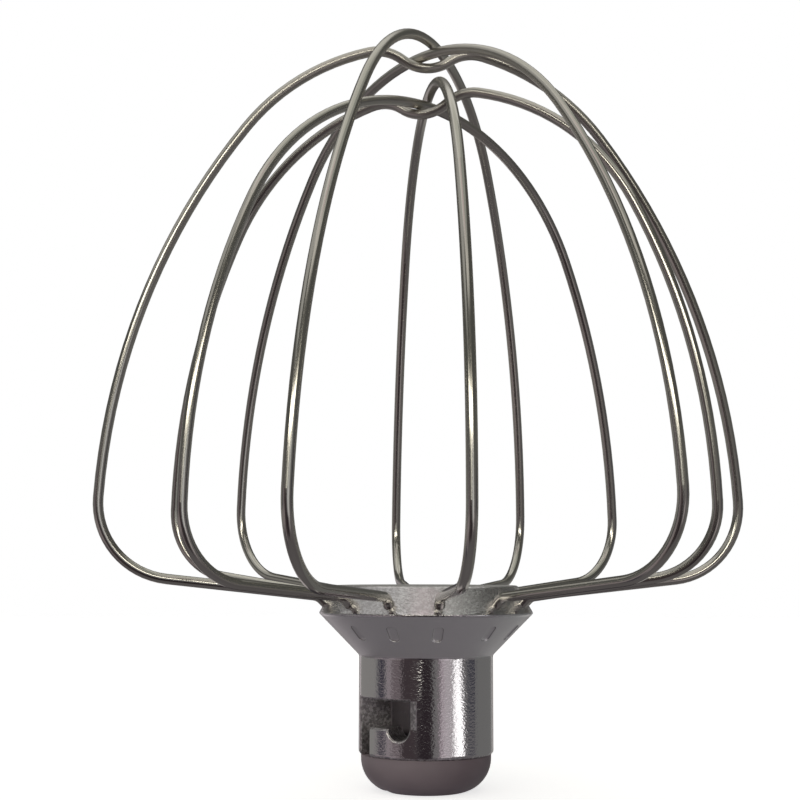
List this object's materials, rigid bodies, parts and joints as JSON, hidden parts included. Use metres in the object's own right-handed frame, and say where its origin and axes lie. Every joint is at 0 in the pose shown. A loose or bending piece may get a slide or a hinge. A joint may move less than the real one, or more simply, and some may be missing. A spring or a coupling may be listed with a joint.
{
  "type": "mixer whisk",
  "caption": "Balloon whisk for a stand mixer: crossed loops of steel wire staked into a polished flared hub that has a shaft socket and a bayonet slot.",
  "frame": {"origin": "on the whisk's axis, at the foot of the socket's mouth, which the whisk stands on", "axes": "+Z along the axis towards the crown of the wires; the bayonet slot is centred on -Y"},
  "size_m": [0.1278, 0.1165, 0.1479],
  "materials": {
    "hub_metal": "polished barrel, satin cone and band",
    "ring_plastic": "dull, moulded",
    "wire_steel": "drawn stainless wire, semi-bright"
  },
  "bodies": {
    "root": {"hub": "hub_metal", "mouth_ring": "ring_plastic", "outer_wire_upper": "wire_steel", "outer_wire_middle": "wire_steel", "outer_wire_lower": "wire_steel", "inner_wire_upper": "wire_steel", "inner_wire_middle": "wire_steel", "inner_wire_lower": "wire_steel"}
  },
  "joints": []
}
